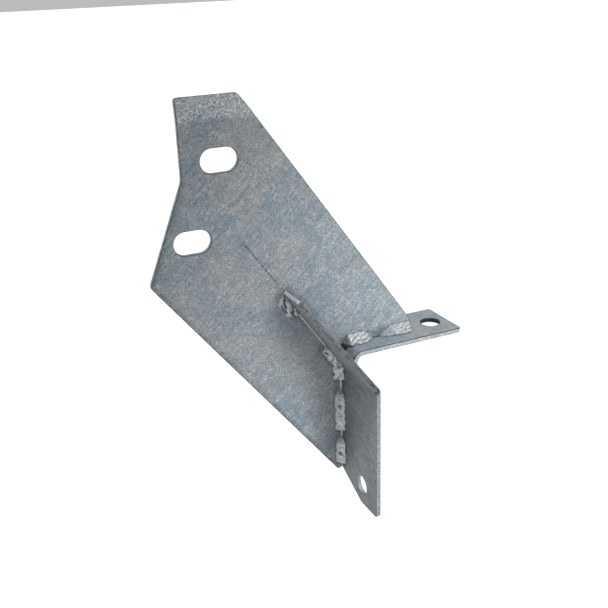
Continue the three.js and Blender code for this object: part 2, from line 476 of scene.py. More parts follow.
def make_foot(materials):
    bend_x = FOOT_BEND[0]
    inner_end = bend_x - FOOT_ARC - LIP_LENGTH
    outline = rounded([
        (inner_end, FOOT_LOW.y, 0),
        (FOOT_HIGH.x, FOOT_LOW.y, ROUND),
        (FOOT_HIGH.x, FOOT_HIGH.y, ROUND),
        (inner_end, FOOT_HIGH.y, 0),
    ])
    hole = arc(FOOT_HOLE, HOLE_RADIUS, 0, 360, HOLE_STEPS)
    mesh = flat_plate([stepped(outline, FOOT_STEP), hole], lambda u, v: SAWN_RAGGED, wall_material=3)
    bend = spaced(bend_x - FOOT_ARC, bend_x, FOOT_SLICES)
    sliced(mesh, [(u, 0, 0) for u in bend], (1, 0, 0))
    for vertex in mesh.verts:
        u, v, height = vertex.co
        vertex.co = turned_down((u, v, height + PLATE / 2))
    cut_point = (PLATE, 0, lip_end_height(PLATE, SEAM_GAP))
    parts = mesh.verts[:] + mesh.edges[:] + mesh.faces[:]
    bmesh.ops.bisect_plane(mesh, geom=parts, plane_co=cut_point, plane_no=-GUSSET_THROUGH, clear_outer=True)
    open_edges = [edge for edge in mesh.edges if edge.is_boundary]
    bmesh.ops.holes_fill(mesh, edges=open_edges)
    even_shading(make_object("foot_bar", mesh, "foot", materials))


# -------- weld beads

# Each seam: a point on it, its direction, and the directions of the two faces that meet there.
SEAMS = {
    "gusset_near": (GUSSET_CORNER, GUSSET_UP, -GUSSET_THROUGH, -Y),
    "gusset_far": (GUSSET_CORNER + GUSSET_THROUGH * PLATE, GUSSET_UP, GUSSET_THROUGH, -Y),
    "leg": (Vector(), Z, -X, -Y),
    "foot": (Vector(), X, Z, -Y),
}

# Each bead: its seam, start and end along it, reach on the first and second face, how far it takes to swell
# at each end, its ripples, the height of the ribs along it, look, seed, and craters as (share of length,
# share across, radius, depth). Ripples are (spacing, how far each slants along the bead from toe to toe, how
# far it bows, height, how irregular they are).
BEADS = {
    "weld_gusset_top": dict(
        seam="gusset_near", start=50.0, end=69.2, reach=(6.9, 4.8), swell=(5.0, 6.0),
        ripples=(9.5, -11.0, 3.0, 0.9, 0.25), ribs=0.28, look="dull", seed=3, craters=()),
    "weld_gusset_far": dict(
        seam="gusset_far", start=41.0, end=57.0, reach=(3.4, 3.6), swell=(7.0, 7.0),
        ripples=(4.4, 0.0, 1.5, 0.3, 0.5), ribs=0.0, look="dull", seed=9, craters=()),
    "weld_gusset_root": dict(
        seam="gusset_near", start=-1.4, end=18.8, reach=(4.4, 3.6), swell=(1.2, 2.2),
        ripples=(6.5, -6.0, 1.0, 0.42, 0.5), ribs=0.25, look="grey", seed=14,
        craters=((0.82, 0.35, 1.5, 1.7),)),
    "weld_corner": dict(
        seam="leg", start=-24.8, end=-12.0, reach=(6.1, 5.0), swell=(2.6, 2.4),
        ripples=(7.5, -7.0, 1.0, 0.45, 0.5), ribs=0.0, look="grey", seed=21,
        craters=((0.42, 0.1, 1.1, 1.0),)),
    "weld_leg_long": dict(
        seam="leg", start=-61.9, end=-32.0, reach=(4.9, 5.5), swell=(1.4, 4.6),
        ripples=(5.3, 1.5, 1.6, 0.36, 0.6), ribs=0.0, look="grey", seed=28,
        craters=((0.62, 0.5, 2.1, 0.75), (0.8, 0.4, 1.2, 0.3))),
    "weld_leg_short": dict(
        seam="leg", start=-87.4, end=-67.6, reach=(4.9, 5.5), swell=(1.4, 4.6),
        ripples=(5.0, 1.5, 1.6, 0.38, 0.6), ribs=0.0, look="grey", seed=35,
        craters=((0.45, 0.45, 2.0, 0.7),)),
    "weld_foot_inner": dict(
        seam="foot", start=3.4, end=24.0, reach=(6.5, 5.4), swell=(2.4, 8.5),
        ripples=(5.6, 13.0, 0.0, 0.5, 0.45), ribs=0.0, look="bright", seed=42, craters=()),
    "weld_foot_outer": dict(
        seam="foot", start=29.4, end=52.4, reach=(6.9, 5.2), swell=(13.0, 1.6),
        ripples=(5.2, 14.0, 0.0, 0.5, 0.45), ribs=0.0, look="bright", seed=49, craters=()),
}
BEAD_STEP = 0.22
BEAD_ACROSS = 26
BEAD_SINK = 0.25
SWELL_POWER = 0.75
SKIN_POWER = 1.45
RIPPLE_CLIMB = 0.72
RIBS_ACROSS = 3.2
TOE_SHARE = 0.08
THINNEST = 0.05


def bead_swell(distance, length, swell):
    """How full the bead is at a distance along it, from 0 at each end up to 1."""
    start = min(1.0, distance / swell[0])
    end = min(1.0, (length - distance) / swell[1])
    return math.sin(start * math.pi / 2) ** SWELL_POWER * math.sin(max(end, 0.0) * math.pi / 2) ** SWELL_POWER


def bead_ripple(distance, across, bead):
    """Overlapping ripples, steep on one side, that slant and bow along the bead between its two toes."""
    spacing, slant, bow, height, irregular = bead["ripples"]
    seed = bead["seed"]
    drift = irregular * noise.noise(Vector((distance * 0.3, seed, across * 2.2)))
    along = distance + slant * across + bow * (1 - (2 * across - 1) ** 2)
    phase = (along / spacing + drift) % 1.0
    crest = phase / RIPPLE_CLIMB if phase < RIPPLE_CLIMB else (1 - phase) / (1 - RIPPLE_CLIMB)
    middle = math.sin(math.pi * min(max(across, 0.04), 0.96)) ** 0.5
    rib = bead["ribs"] * math.sin(2 * math.pi * (RIBS_ACROSS * across + drift)) * (1 - across)
    return (height * (crest ** 1.3 - 0.5) + rib) * middle


def crater_dip(distance, across, bead, length):
    """How deep the bead's craters are at a point, less their raised rims."""
    dip = 0.0
    width = sum(bead["reach"]) / 2 * 1.4
    for place, side, radius, depth in bead["craters"]:
        gap = math.hypot(distance - place * length, (across - side) * width)
        dip += depth * math.exp(-((gap / radius) ** 2) * 1.6)
        dip -= 0.12 * depth * math.exp(-(((gap - radius * 1.15) / (0.45 * radius)) ** 2))
    return dip


def bead_point(distance, across, bead, length):
    """(reach on first face, reach on second face, crevice depth) of the bead's skin.

    The crevice depth counts the toes too, where residue gathers.
    """
    seed = bead["seed"]
    angle = across * math.pi / 2
    swell = bead_swell(distance, length, bead["swell"])
    cosine, sine = math.cos(angle), math.sin(angle)
    fullness = (cosine ** SKIN_POWER + sine ** SKIN_POWER) ** (-1 / SKIN_POWER)
    toe = 1 + 0.13 * noise.noise(Vector((distance * 0.45, seed + 0.5, 7 * across)))
    ripple = bead_ripple(distance, across, bead)
    grain = 0.12 * noise.noise(Vector((distance * 0.9, across * 5, seed))) * math.sin(math.pi * across)
    dip = crater_dip(distance, across, bead, length)
    rise = (ripple + grain - dip) * swell ** 0.5
    first = bead["reach"][0] * fullness * toe * swell + rise
    second = bead["reach"][1] * fullness * toe * swell + rise
    toe_share = max(0.0, 1 - min(across, 1 - across) / TOE_SHARE)
    crevice = dip * 0.7 - ripple + 0.4 * toe_share
    return max(first, THINNEST) * cosine, max(second, THINNEST) * sine, crevice


def skinned(mesh, rings):
    """Joins rings of vertices, one after another, and closes both ends."""
    for here, there in zip(rings, rings[1:]):
        for j in range(len(here)):
            after = (j + 1) % len(here)
            mesh.faces.new((here[j], here[after], there[after], there[j]))
    mesh.faces.new(rings[0])
    mesh.faces.new(rings[-1])


def make_bead(name, bead, materials):
    """A weld bead with its crevice depth as an attribute of each vertex."""
    origin, run, first_side, second_side = SEAMS[bead["seam"]]
    length = bead["end"] - bead["start"]
    count = round(length / BEAD_STEP)
    mesh = bmesh.new()
    dark = mesh.verts.layers.float.new("crevice")
    rings = []
    for k in range(count + 1):
        distance = length * k / count
        base = origin + run * (bead["start"] + distance)
        ring = [mesh.verts.new(base - (first_side + second_side) * BEAD_SINK)]
        for j in range(BEAD_ACROSS + 1):
            first, second, crevice = bead_point(distance, j / BEAD_ACROSS, bead, length)
            if j == 0:
                second = -BEAD_SINK
            if j == BEAD_ACROSS:
                first = -BEAD_SINK
            vertex = mesh.verts.new(base + first_side * first + second_side * second)
            vertex[dark] = crevice
            ring.append(vertex)
        rings.append(ring)
    skinned(mesh, rings)
    bmesh.ops.triangulate(mesh, faces=[face for face in mesh.faces if len(face.verts) > 4])
    make_object(name + "_bead", mesh, name, materials)


# Zinc that ran into the seams beside the beads: seam, start and end along it, and reach on each face.
SEAM_ZINC = {
    "leg_seam_zinc": ("leg", -90.5, -22.0, 0.75),
    "gusset_seam_zinc": ("gusset_near", 14.0, 54.0, 0.6),
}
ZINC_STEP = 0.5
ZINC_ACROSS = 6
ZINC_HOLLOW = 0.35


def make_seam_zinc(name, seam, start, end, reach, materials):
    """A thin uneven fillet of zinc along a seam."""
    origin, run, first_side, second_side = SEAMS[seam]
    mesh = bmesh.new()
    count = round((end - start) / ZINC_STEP)
    rings = []
    for k in range(count + 1):
        distance = start + (end - start) * k / count
        base = origin + run * distance
        size = reach * (1 + 0.55 * noise.noise(Vector((distance * 0.4, 5.5, 1.5))))
        size *= min(1.0, 0.2 + k / 4, 0.2 + (count - k) / 4)
        ring = [mesh.verts.new(base - (first_side + second_side) * BEAD_SINK)]
        for j in range(ZINC_ACROSS + 1):
            angle = math.pi / 2 * j / ZINC_ACROSS
            hollow = size * (1 - ZINC_HOLLOW * math.sin(2 * angle))
            first = hollow * math.cos(angle) if j < ZINC_ACROSS else -BEAD_SINK
            second = hollow * math.sin(angle) if j > 0 else -BEAD_SINK
            ring.append(mesh.verts.new(base + first_side * first + second_side * second))
        rings.append(ring)
    skinned(mesh, rings)
    make_object(name, mesh, None, materials)


# -------- material nodes

# A direction that no streak runs along
SKEW = Vector((0.31, -0.9, 0.3))
NOISE_MIDDLE = 0.5


def colour(red, green, blue):
    """A display colour, 0 to 255, as the linear colour that a shader takes."""
    linear = []
    for part in (red, green, blue):
        share = part / 255
        linear.append(share / 12.92 if share <= 0.04045 else ((share + 0.055) / 1.055) ** 2.4)
    return (*linear, 1.0)


class Nodes:
    """Adds shader nodes to one material and joins them up."""

    def __init__(self, name):
        self.material = bpy.data.materials.new(name)
        self.material.use_nodes = True
        self.tree = self.material.node_tree
        self.tree.nodes.clear()
        coordinates = self.add("TexCoord").outputs["Object"]
        scaled = self.vector("SCALE", coordinates, scale=1 / MM)
        self.place = self.vector("SUBTRACT", scaled, tuple(CORNER / MM))
        split = self.add("SeparateXYZ", {"Vector": self.place})
        self.x, self.y, self.z = split.outputs

    def add(self, kind, inputs=None, **settings):
        node = self.tree.nodes.new("ShaderNode" + kind)
        for key, value in settings.items():
            setattr(node, key, value)
        for key, value in (inputs or {}).items():
            if isinstance(value, bpy.types.NodeSocket):
                self.tree.links.new(value, node.inputs[key])
            else:
                node.inputs[key].default_value = value
        return node

    def math(self, operation, first, second=0.0, clamp=False):
        node = self.add("Math", {0: first, 1: second}, operation=operation, use_clamp=clamp)
        return node.outputs[0]

    def total(self, first, *others):
        for other in others:
            first = self.math("ADD", first, other)
        return first

    def product(self, first, *others):
        for other in others:
            first = self.math("MULTIPLY", first, other)
        return first

    def swing(self, value, by):
        """A noise as a swing to both sides of zero, `by` wide in all."""
        return self.product(self.math("SUBTRACT", value, NOISE_MIDDLE), by)

    def vector(self, operation, first, second=None, scale=None):
        inputs = {0: first}
        if second is not None:
            inputs[1] = second
        if scale is not None:
            inputs["Scale"] = scale
        node = self.add("VectorMath", inputs, operation=operation)
        return node.outputs["Value" if operation in ("DOT_PRODUCT", "DISTANCE") else "Vector"]

    def ramp(self, value, low, high, to_low=0.0, to_high=1.0):
        inputs = {"Value": value, "From Min": low, "From Max": high, "To Min": to_low, "To Max": to_high}
        return self.add("MapRange", inputs, interpolation_type="SMOOTHSTEP").outputs["Result"]

    def mix(self, share, first, second):
        inputs = {0: share, 6: first, 7: second}
        return self.add("Mix", inputs, data_type="RGBA", clamp_factor=True).outputs[2]

    def tinted(self, base, tint, share, by):
        """The base colour turned towards a tint, by a share from 0 to 1 of `by`."""
        return self.mix(self.product(share, by), base, tint)

    def noise(self, size, detail=3.0, roughness=0.6, twist=0.0, place=None, shift=0.0):
        """Noise from 0 to 1 with features about `size` millimetres across, read at a shifted place."""
        place = self.place if place is None else place
        moved = self.vector("ADD", place, (shift, shift * 1.7, shift * 0.6))
        inputs = {"Vector": moved, "Scale": 1 / size, "Detail": detail, "Roughness": roughness}
        inputs["Distortion"] = twist
        return self.add("TexNoise", inputs).outputs["Fac"]

    def streaks(self, along, length, width, shift=0.0, detail=3.0):
        """Noise drawn out along a direction: `length` long and `width` across, in millimetres."""
        run = Vector(along).normalized()
        side = run.cross(SKEW).normalized()
        other = run.cross(side)
        parts = []
        for axis, size in ((run, length), (side, width), (other, width)):
            reach = self.vector("DOT_PRODUCT", self.place, tuple(axis))
            parts.append(self.math("DIVIDE", reach, size))
        place = self.add("CombineXYZ", dict(enumerate(parts))).outputs[0]
        return self.noise(1.0, detail, place=place, shift=shift)

    def spots(self, spacing, size, share, shift=0.0):
        """Small round spots, `size` across on average, in a share of the cells that are `spacing` apart."""
        wobble = self.noise(spacing * 0.2, detail=2.0, shift=shift + 5)
        bent = self.vector("ADD", self.place, self.vector("SCALE", self.to_vector(wobble), scale=size * 1.4))
        moved = self.vector("ADD", bent, (shift, shift, shift))
        node = self.add("TexVoronoi", {"Vector": moved, "Scale": 1 / spacing})
        near = self.ramp(node.outputs["Distance"], 0.25 * size / spacing, 0.6 * size / spacing, 1.0, 0.0)
        red = self.add("SeparateColor", {"Color": node.outputs["Color"]}).outputs[0]
        chosen = self.math("LESS_THAN", red, share)
        return self.product(near, chosen)

    def to_vector(self, value):
        return self.add("CombineXYZ", {0: value, 1: value, 2: value}).outputs[0]

    def distance_to(self, start, end):
        """Millimetres from the shaded point to a straight line between two points."""
        start, end = Vector(start), Vector(end)
        run = end - start
        offset = self.vector("SUBTRACT", self.place, tuple(start))
        share = self.math("DIVIDE", self.vector("DOT_PRODUCT", offset, tuple(run)), run.length_squared, True)
        on_line = self.vector("SCALE", tuple(run), scale=share)
        return self.vector("DISTANCE", offset, on_line)

    def distance_to_nearest(self, lines):
        """Millimetres from the shaded point to the nearest of some straight lines."""
        nearest = None
        for start, end in lines:
            distance = self.distance_to(start, end)
            nearest = distance if nearest is None else self.math("MINIMUM", nearest, distance)
        return nearest

    def scaled_colour(self, tint, factor):
        """A colour made lighter or darker by a number."""
        return self.vector("MULTIPLY", tint, self.to_vector(factor))

    def finish(self, base, roughness, height, metallic, bump_distance):
        bump = self.add("Bump", {"Strength": 1.0, "Distance": bump_distance * MM, "Height": height})
        shader = self.add("BsdfPrincipled", {
            "Base Color": base,
            "Roughness": roughness,
            "Metallic": metallic,
            "Normal": bump.outputs["Normal"],
        })
        output = self.add("OutputMaterial")
        self.tree.links.new(shader.outputs[0], output.inputs["Surface"])
        return self.material


# -------- marks on the sheets

SHEET_METALLIC = 0.62
BLUE_GREY = colour(137, 151, 160)
WARM_GREY = colour(152, 158, 160)
PINK_TAN = colour(176, 163, 154)
DULL_TAN = colour(146, 138, 132)
SLATE_BLUE = colour(120, 141, 160)
PALE_ZINC = colour(205, 213, 217)
DARK_DIRT_AND_SHADE = colour(62, 62, 62)
RUST_BROWN = colour(80, 52, 36)
POCKET_SHADE_BLACK = colour(12, 13, 15)

# How far the grime by a bead stops short of its ends, and how far the painted shade beside the seams lies
# left of them, stops short of the gusset's end and runs down the leg.
BEAD_GRIME_INSET = 2.0
SEAM_SHADE_LEFT = 9.0
SEAM_SHADE_SHORT = 14.0
SEAM_SHADE_DOWN = 74.0

# The gap round the foot's bend, where it goes down through the web's relief and is painted black as shade.
POCKET_LINE = ((2.4, -0.6, -1.6), (2.6, 9.0, -2.0))

LEFT_CORNER = (WEB_LEFT_CORNER[0], 0.0, WEB_LEFT_CORNER[1])
WEB_GRIMY_EDGES = (
    (LEFT_CORNER, (WEB_TIP[0], 0.0, WEB_TIP[1])),
    (LEFT_CORNER, (WEB_LEFT, 0.0, WEB_SHOULDER)),
)


def bead_lines():
    """The two ends, on the seam, of each weld bead's grime."""
    lines = []
    for bead in BEADS.values():
        origin, run = SEAMS[bead["seam"]][:2]
        start = origin + run * (bead["start"] + BEAD_GRIME_INSET)
        end = origin + run * (bead["end"] - BEAD_GRIME_INSET)
        lines.append((start, end))
    return lines


def weld_grime_and_shade(nodes):
    """Two shares: 1 beside a weld bead, for grime, and 1 near a welded seam, for painted shade, each falling
    to 0 with a ragged border.

    Both are 0 on the back of the web, where no bead shows.
    """
    ragged = nodes.swing(nodes.noise(2.6), by=4.0)
    left = GUSSET_CORNER - GUSSET_THROUGH * SEAM_SHADE_LEFT
    gusset_end = left + GUSSET_UP * (GUSSET_LENGTH - SEAM_SHADE_SHORT)
    seams = ((left, gusset_end), (left, left - Z * SEAM_SHADE_DOWN))
    close = nodes.total(nodes.distance_to_nearest(bead_lines()), ragged)
    wide = nodes.total(nodes.distance_to_nearest(seams), nodes.product(ragged, 1.5))
    on_front = nodes.ramp(nodes.y, 0.5, 2.0, 1.0, 0.0)
    close_share = nodes.ramp(close, 5.0, 7.2, 1.0, 0.0)
    wide_share = nodes.ramp(wide, 2.0, 20.0, 1.0, 0.0)
    return nodes.product(close_share, on_front), nodes.product(wide_share, on_front)


def pocket_painted_shade(nodes, base):
    """Painted shade blackens the gap where the foot bends down through the web's relief."""
    black = nodes.ramp(nodes.distance_to(*POCKET_LINE), 1.9, 3.1, 0.97, 0.0)
    return nodes.mix(black, base, POCKET_SHADE_BLACK)


def rusted(nodes, base):
    """Brown rust and dirt where the zinc has cracked at the front of the gusset's free edge."""
    front = LEG_LOW.y
    start = (0.3, front + 0.4, LEAN_CORNER - 0.6)
    end = (PLATE - 0.4, front + 0.6, LEAN_CORNER + 2.6)
    ragged = nodes.swing(nodes.noise(1.3, shift=77), by=4.0)
    rust = nodes.ramp(nodes.total(nodes.distance_to(start, end), ragged), 1.0, 2.0, 1.0, 0.0)
    flecks = nodes.ramp(nodes.noise(1.2, detail=2.0, shift=91), 0.47, 0.53)
    base = nodes.tinted(base, DARK_DIRT_AND_SHADE, rust, by=0.5)
    return nodes.mix(nodes.product(rust, flecks), base, RUST_BROWN)


def patchy_zinc(nodes, big, middle, small, warm):
    """Grey zinc in patches that lean to blue, tan and pink."""
    base = nodes.mix(nodes.ramp(big, 0.4, 0.62), BLUE_GREY, WARM_GREY)
    pink = nodes.product(nodes.ramp(middle, 0.5, 0.66), nodes.ramp(small, 0.46, 0.6))
    base = nodes.tinted(base, PINK_TAN, pink, by=0.32)
    blue = nodes.ramp(nodes.noise(6.5, detail=4.0, twist=1.6, shift=200), 0.55, 0.7)
    base = nodes.tinted(base, SLATE_BLUE, blue, by=0.38)
    base = nodes.mix(warm, base, DULL_TAN)
    mottle = nodes.noise(1.5, detail=2.0, roughness=0.5, twist=0.6, shift=420)
    base = nodes.mix(nodes.ramp(mottle, 0.55, 0.7, 0.0, 0.3), base, PINK_TAN)
    return nodes.mix(nodes.ramp(mottle, 0.45, 0.3, 0.0, 0.3), base, SLATE_BLUE)


def crystal_lace(nodes, base, middle, crystals):
    """Thin curling veins of pale and of tan crystals, in patches."""
    patch = nodes.ramp(middle, 0.42, 0.58)
    for size, shift, vein in ((3.6, 260, PALE_ZINC), (5.5, 610, PINK_TAN)):
        curl = nodes.noise(size, roughness=0.55, twist=1.6, shift=shift)
        ridge = nodes.math("ABSOLUTE", nodes.math("SUBTRACT", curl, NOISE_MIDDLE))
        lace = nodes.ramp(ridge, 0.008, 0.034, 1.0, 0.0)
        base = nodes.mix(nodes.product(lace, patch, crystals), base, vein)
    return base


def scratches(nodes, along, width):
    """Raised scratches as positive and cut ones as negative, in two directions and in patches."""
    first = nodes.streaks(along, 18.0, width, shift=7)
    second_along = Vector(along) + Vector((0.25, 0.1, 0.3))
    second = nodes.streaks(second_along, 10.0, 0.8 * width, shift=31)
    where = nodes.ramp(nodes.noise(13, twist=0.5, shift=300), 0.42, 0.56)
    raised = nodes.total(nodes.ramp(first, 0.53, 0.62), nodes.ramp(second, 0.54, 0.63))
    cut = nodes.total(nodes.ramp(first, 0.46, 0.38), nodes.ramp(second, 0.45, 0.37))
    return nodes.product(nodes.math("SUBTRACT", raised, cut), where)


def sheet_trend(nodes, tone, slope, centre):
    """The sheet's tone at its centre, with a slope per 100 mm along x and along z."""
    across = nodes.product(nodes.math("SUBTRACT", nodes.x, centre[0]), slope[0] / 100)
    along = nodes.product(nodes.math("SUBTRACT", nodes.z, centre[1]), slope[1] / 100)
    return nodes.total(across, along, tone)


def grainy_strip(nodes, middle, above):
    """The web's top strip: the share of it that is strip at all, coarse bright grain, and hollows."""
    ragged = nodes.swing(middle, by=9.0)
    on_strip = nodes.ramp(nodes.total(nodes.z, ragged), above - 2.5, above + 1.5)
    hatch = nodes.streaks((-0.75, 0.1, 0.6), 1.5, 0.6, shift=61, detail=4.0)
    coarse = nodes.ramp(nodes.noise(1.1, detail=4.0, roughness=0.7, twist=1.0, shift=350), 0.46, 0.6)
    lines = nodes.product(nodes.ramp(hatch, 0.48, 0.62), 0.65)
    glint = nodes.math("ADD", lines, nodes.product(coarse, 0.75), clamp=True)
    hollows = nodes.product(nodes.ramp(hatch, 0.46, 0.34), on_strip)
    return on_strip, nodes.product(glint, on_strip), hollows


def web_marks(nodes, base, small, crease):
    """A faint crease line on the web's front and grime along its left edges. Also gives the line's share."""
    line = nodes.ramp(nodes.distance_to(*crease), 0.2, 0.75, 1.0, 0.0)
    on_front = nodes.ramp(nodes.y, 0.5, 1.0, 1.0, 0.0)
    line = nodes.product(line, nodes.ramp(small, 0.36, 0.54), on_front)
    base = nodes.tinted(base, DARK_DIRT_AND_SHADE, line, by=0.75)
    off_edge = nodes.distance_to_nearest(WEB_GRIMY_EDGES)
    grime = nodes.product(nodes.ramp(off_edge, 0.8, 4.5, 1.0, 0.0), nodes.ramp(small, 0.42, 0.58))
    return nodes.tinted(base, DARK_DIRT_AND_SHADE, grime, by=0.55), line


def galvanised(name, tone, slope, centre, crystals, scratch_along, scored, width, warm=0.0, grainy_above=None,
               crease=None, grime_and_shade=1.0):
    """The face of a galvanised sheet.

    tone, slope and centre set its brightness, crystals its lace, scratch_along, scored and width its
    scratches, warm how tan it is, grainy_above where its coarse strip starts, crease where its crease line
    runs, and grime_and_shade how strong the grime by its welds and the painted shade beside its seams are.
    """
    nodes = Nodes(name)
    big = nodes.noise(38, detail=5.0, twist=1.2)
    middle = nodes.noise(9, detail=5.0, twist=1.2, shift=40)
    small = nodes.noise(2.4, detail=5.0, roughness=0.62, twist=0.8, shift=80)
    grain = nodes.noise(1.0, roughness=0.65, twist=0.6, shift=120)
    fine = scratches(nodes, scratch_along, width)
    base = crystal_lace(nodes, patchy_zinc(nodes, big, middle, small, warm), middle, crystals)

    swings = [nodes.swing(value, by) for value, by in ((middle, 0.25), (small, 0.65), (grain, 2.0))]
    light = nodes.total(1.0, *swings, nodes.product(fine, scored))
    light = nodes.product(light, sheet_trend(nodes, tone, slope, centre))
    height = nodes.total(nodes.product(fine, 0.25), nodes.product(small, 0.6), nodes.product(grain, 0.35))
    if grainy_above is not None:
        on_strip, glint, hollows = grainy_strip(nodes, middle, grainy_above)
        base = nodes.mix(glint, base, PALE_ZINC)
        light = nodes.total(light, nodes.product(on_strip, 0.09))
        light = nodes.math("SUBTRACT", light, nodes.product(hollows, 0.3))
        height = nodes.total(height, nodes.product(glint, 1.3))

    base = nodes.scaled_colour(base, light)
    close, wide = weld_grime_and_shade(nodes)
    # Painted shade beside the welded seams, then grime beside the weld beads.
    base = nodes.tinted(base, DARK_DIRT_AND_SHADE, wide, by=0.34 * grime_and_shade)
    base = nodes.tinted(base, DARK_DIRT_AND_SHADE, close, by=0.3 * grime_and_shade)
    specks = nodes.spots(spacing=8.0, size=0.8, share=0.5)
    base = nodes.tinted(base, RUST_BROWN, specks, by=0.6)
    pits = nodes.spots(spacing=3.6, size=0.5, share=0.35, shift=13)
    base = nodes.tinted(base, DARK_DIRT_AND_SHADE, pits, by=0.4)
    # Painted shade in the gap round the foot's bend, then rust at the gusset's edge.
    base = rusted(nodes, pocket_painted_shade(nodes, base))
    if crease is not None:
        base, line = web_marks(nodes, base, small, crease)
        height = nodes.math("SUBTRACT", height, line)
    height = nodes.math("SUBTRACT", height, nodes.product(nodes.total(specks, pits), 0.5))
    roughness = nodes.ramp(middle, 0.3, 0.7, 0.42, 0.6)
    return nodes.finish(base, roughness, height, SHEET_METALLIC, bump_distance=0.14)


# -------- cut edges, rims and beads

EDGE_BLUE = colour(150, 163, 171)
EDGE_GREY = colour(176, 180, 182)
TORN_GREY = colour(106, 106, 108)
TORN_BROWN = colour(140, 135, 131)
TORN_GROOVE = colour(56, 54, 54)
TORN_GLINT = colour(178, 180, 182)
RIM_ZINC = colour(150, 158, 163)
RIM_DARK_LINE = colour(34, 36, 38)
# Painted shade on the wall of the foot's hole.
WALL_BLACK = colour(22, 25, 30)
WALL_GREY = colour(52, 57, 63)
BEAD_BLUE = colour(168, 178, 183)
BEAD_GREY = colour(188, 190, 188)
BEAD_HIGHLIGHT = colour(236, 240, 240)
BEAD_VALLEY = colour(58, 58, 58)
BEAD_SCORE = colour(104, 106, 106)
BEAD_TAN = colour(150, 132, 116)


def gusset_edge_shares(nodes):
    """1 on the gusset's long free edge, left as it was sheared, and 1 on the short edge at its tip."""
    above = nodes.ramp(nodes.z, LEAN_CORNER - 0.8, LEAN_CORNER + 0.8)
    in_front = nodes.ramp(nodes.y, -GUSSET_END_DEPTH - 0.6, -GUSSET_END_DEPTH + 0.4, 1.0, 0.0)
    sheared = nodes.product(above, in_front)
    return sheared, nodes.math("SUBTRACT", above, sheared)


def torn_metal(nodes, coarse, fine, streak):
    """Dull brown metal with dark grooves and a few glints."""
    torn = nodes.mix(nodes.ramp(coarse, 0.42, 0.66), TORN_GREY, TORN_BROWN)
    torn = nodes.mix(nodes.ramp(streak, 0.5, 0.6, 0.0, 0.85), torn, TORN_GROOVE)
    return nodes.mix(nodes.ramp(fine, 0.58, 0.68, 0.0, 0.6), torn, TORN_GLINT)


def cut_edge(name, tone, drawn, torn_share):
    """The zinc-coated cut edge of a sheet, streaked along its length.

    A share of it is torn, dull and brown. Where torn_share is None, that is the gusset's sheared edge, and
    the edge at the gusset's tip is brightened with painted light.
    """
    nodes = Nodes(name)
    streak = nodes.streaks(drawn, 6.0, 0.55, shift=4)
    coarse = nodes.noise(1.7, detail=4.0, roughness=0.65, twist=0.8)
    fine = nodes.noise(0.7, twist=0.2, shift=17)
    base = nodes.mix(nodes.ramp(coarse, 0.4, 0.62), EDGE_BLUE, EDGE_GREY)
    light = nodes.total(nodes.swing(coarse, by=0.6), nodes.swing(streak, by=-1.0), tone)
    if torn_share is None:
        torn_share, tip = gusset_edge_shares(nodes)
        # Painted light on the edge at the gusset's tip.
        light = nodes.total(light, nodes.product(tip, 0.75))
    base = nodes.mix(torn_share, base, torn_metal(nodes, coarse, fine, streak))
    base = rusted(nodes, nodes.scaled_colour(base, light))
    specks = nodes.spots(spacing=6.5, size=1.1, share=0.4, shift=50)
    base = nodes.tinted(base, RUST_BROWN, specks, by=0.75)
    height = nodes.total(streak, nodes.product(fine, 0.6))
    return nodes.finish(base, 0.55, height, SHEET_METALLIC, bump_distance=0.2)


def dark_rim(name, tone, dark):
    """The rounded rim of a sheet, where the zinc breaks into a thin dark line."""
    nodes = Nodes(name)
    coarse = nodes.noise(2.2, detail=4.0, roughness=0.65, twist=0.6, shift=23)
    share = nodes.product(nodes.ramp(coarse, 0.36, 0.52, 0.5, 1.0), dark)
    base = nodes.mix(share, RIM_ZINC, RIM_DARK_LINE)
    base = rusted(nodes, nodes.scaled_colour(base, tone))
    return nodes.finish(base, 0.5, coarse, SHEET_METALLIC, bump_distance=0.08)


def hole_wall(name):
    """The foot's hole has a wall painted dull and nearly black as shade."""
    nodes = Nodes(name)
    coarse = nodes.noise(1.5, detail=4.0, twist=0.4, shift=3)
    base = nodes.mix(nodes.ramp(coarse, 0.45, 0.75), WALL_BLACK, WALL_GREY)
    return nodes.finish(base, 0.6, coarse, metallic=0.3, bump_distance=0.08)


def bead_zinc(name, tone, shade_and_dirt):
    """Zinc over a weld bead: painted highlights on the crests of its ripples and painted shade in their
    valleys and craters, with dirt at its toes.
    """
    nodes = Nodes(name)
    crevice = nodes.add("Attribute", attribute_name="crevice").outputs["Fac"]
    coarse = nodes.noise(2.2, detail=4.0, twist=0.8)
    fine = nodes.noise(0.9, twist=0.4, shift=9)
    hatch = nodes.streaks((0.8, 0.1, 0.55), 4.0, 0.55, shift=19)
    base = nodes.mix(nodes.ramp(coarse, 0.4, 0.62), BEAD_BLUE, BEAD_GREY)
    broken = nodes.total(crevice, nodes.swing(coarse, by=0.6))
    # Painted highlights on the crests, then painted shade in the valleys and craters together with dirt at
    # the toes.
    base = nodes.mix(nodes.ramp(broken, -0.05, -0.3, 0.0, 0.8), base, BEAD_HIGHLIGHT)
    base = nodes.tinted(base, BEAD_VALLEY, nodes.ramp(broken, 0.06, 0.34), shade_and_dirt)
    base = nodes.tinted(base, BEAD_SCORE, nodes.ramp(hatch, 0.56, 0.68), by=0.35)
    base = nodes.tinted(base, BEAD_TAN, nodes.ramp(fine, 0.58, 0.7), by=0.3)
    base = nodes.scaled_colour(base, tone)
    height = nodes.total(nodes.product(coarse, 0.5), nodes.product(hatch, 0.3))
    roughness = nodes.ramp(coarse, 0.35, 0.65, 0.42, 0.58)
    return nodes.finish(base, roughness, height, metallic=0.4, bump_distance=0.12)


# -------- stage

